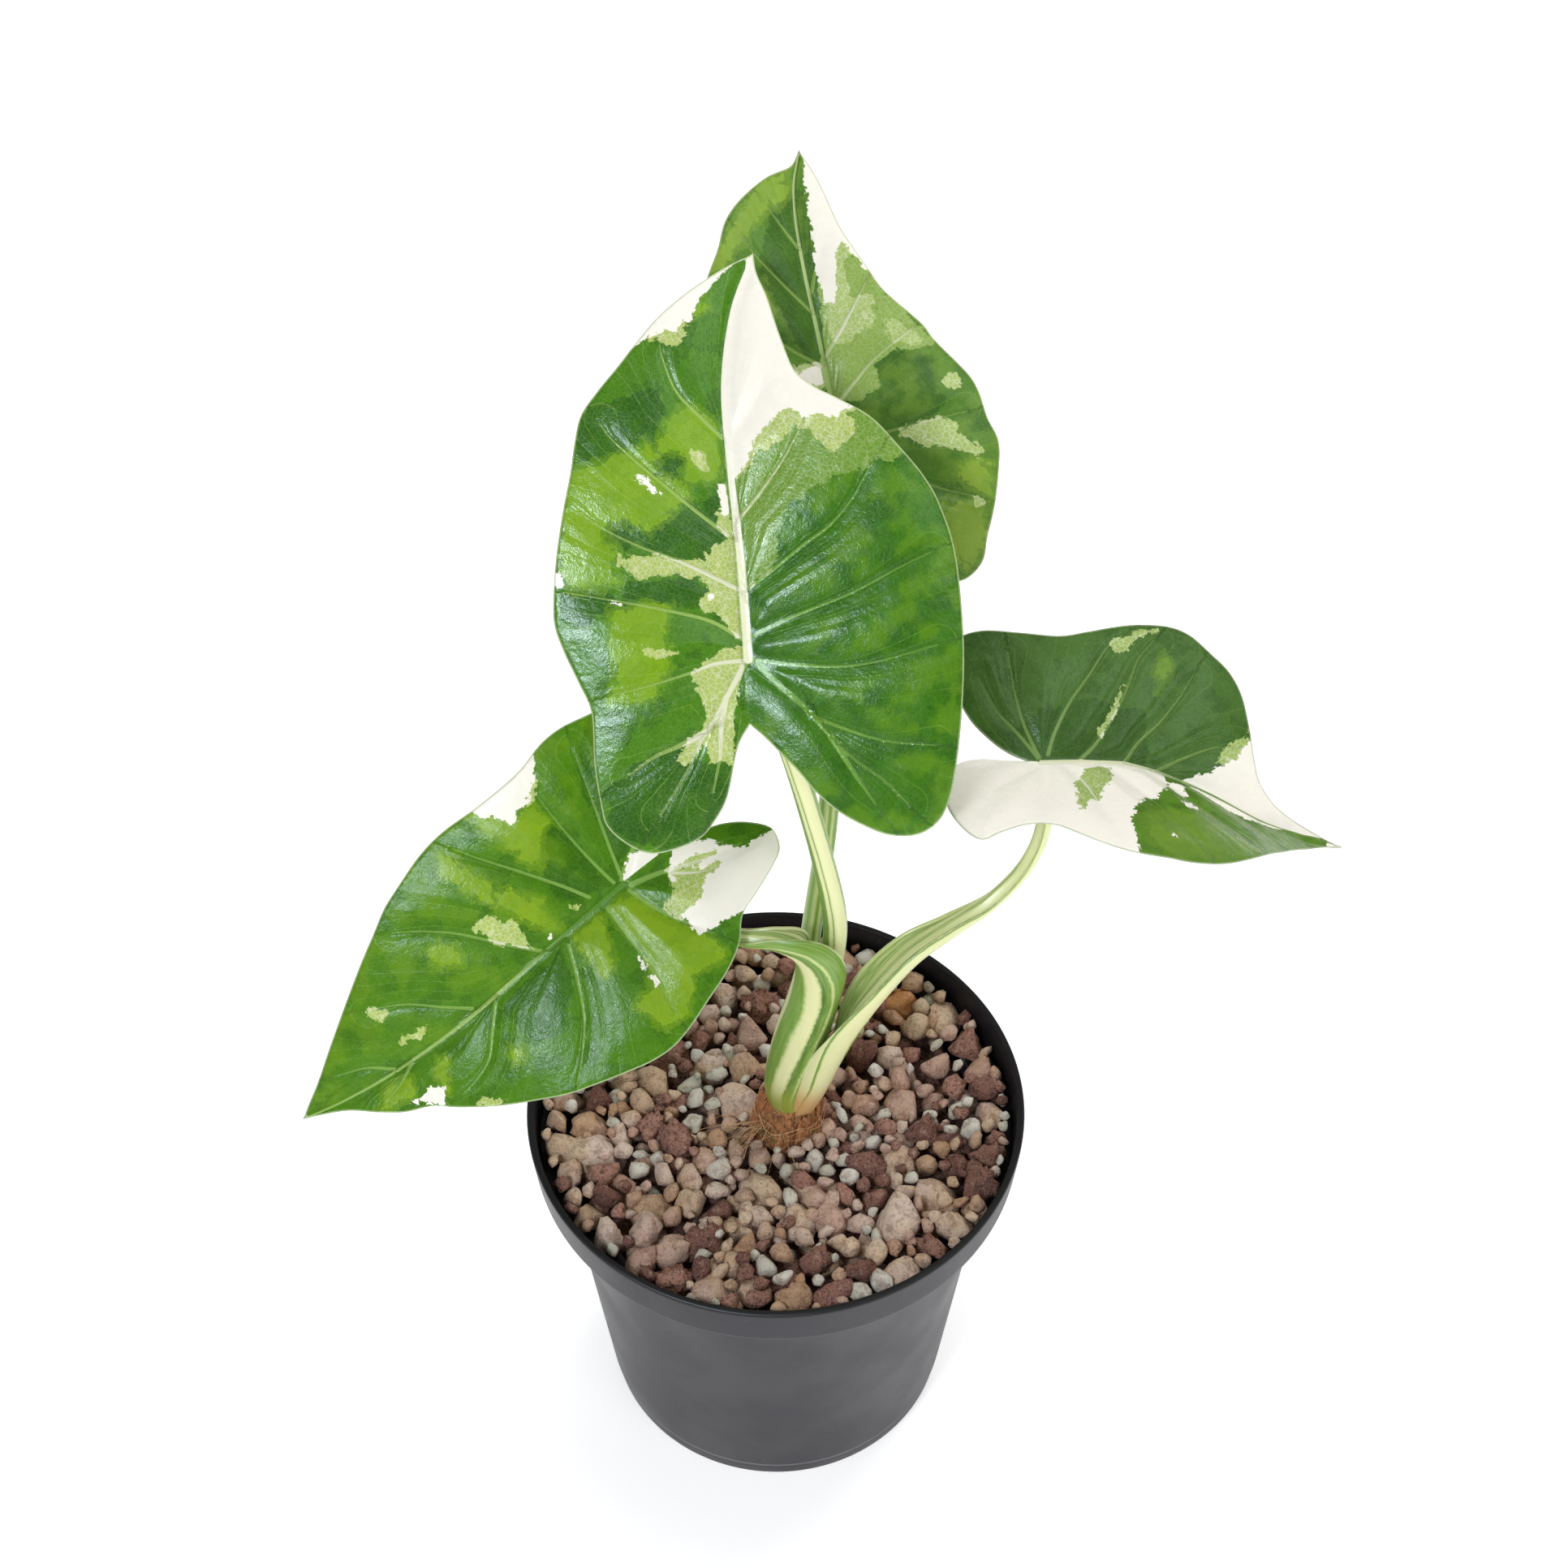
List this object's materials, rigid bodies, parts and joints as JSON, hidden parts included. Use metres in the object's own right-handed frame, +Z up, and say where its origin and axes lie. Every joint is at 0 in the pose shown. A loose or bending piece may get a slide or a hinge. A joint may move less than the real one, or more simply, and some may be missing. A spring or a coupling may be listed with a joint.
{
  "type": "potted variegated alocasia odora",
  "caption": "Young variegated elephant ear with arched heart-shaped leaves on clasping stalks, growing from a corm in mineral grit in a round tapered nursery pot.",
  "frame": {"origin": "centre of the pot's flat base, on the ground", "axes": "+Z up along the pot's axis, -Y towards the picture's camera, +X to the camera's right"},
  "size_m": [0.2351, 0.1666, 0.2992],
  "materials": {
    "pot_plastic": "charcoal moulded plastic, satin",
    "grit": "mixed pumice, lava and zeolite grains, dry and porous",
    "corm_husk": "dry brown fibrous husk",
    "stalk": "smooth satin, striped green and cream",
    "leaf": "glossy green marbled with lime, sage and cream"
  },
  "bodies": {
    "root": {"pot": "pot_plastic", "grit_bed": "grit", "corm": "corm_husk", "petiole_right": "stalk", "petiole_left": "stalk", "petiole_front": "stalk", "petiole_rear": "stalk", "leaf_front": "leaf", "leaf_rear": "leaf", "leaf_left": "leaf", "leaf_right": "leaf"}
  },
  "joints": []
}
